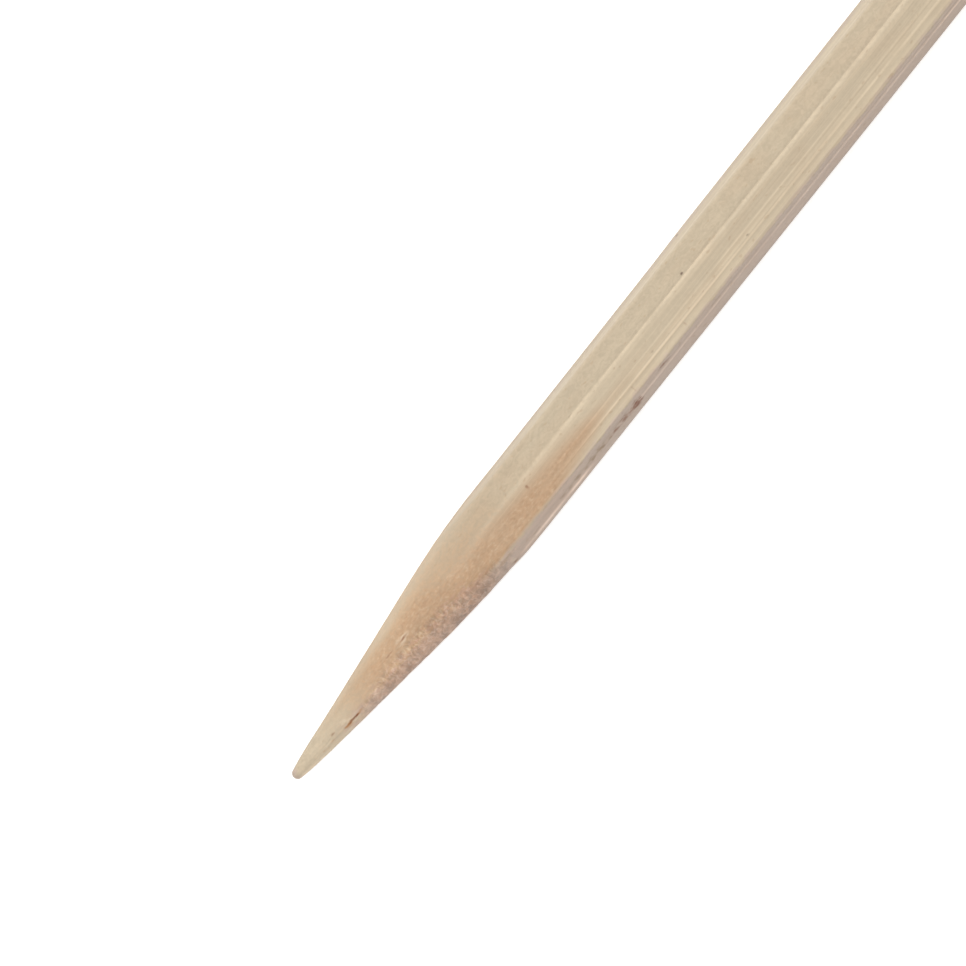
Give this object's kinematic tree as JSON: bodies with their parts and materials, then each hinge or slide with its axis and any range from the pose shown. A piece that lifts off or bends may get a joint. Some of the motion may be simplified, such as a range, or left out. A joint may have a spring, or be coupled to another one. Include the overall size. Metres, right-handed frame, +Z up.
{
  "type": "straight knitting needles",
  "caption": "Straight bamboo knitting needles laid crossed, each a faceted shaft with a long turned point and a ball knob glued on its other end.",
  "frame": {"origin": "on the table, under the middle of the pair's bounding box", "axes": "+X from the points towards the knobs, along the line that halves the angle between the needles; +Z up from the table; +Y across, on the side where the lower needle's point is"},
  "size_m": [0.2232, 0.0784, 0.0289],
  "materials": {
    "shaft_bamboo": "pale bare bamboo, split and planed, smooth to the touch but matte, with long fibre lines and a browner sanded point",
    "knob_bamboo": "turned and sanded bamboo, satin, a little darker than the shaft"
  },
  "bodies": {
    "lower_needle": {"lower_shaft": "shaft_bamboo", "lower_knob": "knob_bamboo"},
    "upper_needle": {"upper_shaft": "shaft_bamboo", "upper_knob": "knob_bamboo"}
  },
  "joints": [
    {"name": "upper_needle_lift", "type": "slide", "parent": "lower_needle", "child": "upper_needle", "axis": [0, 0, 1], "range_m": [0, 0.08]}
  ]
}
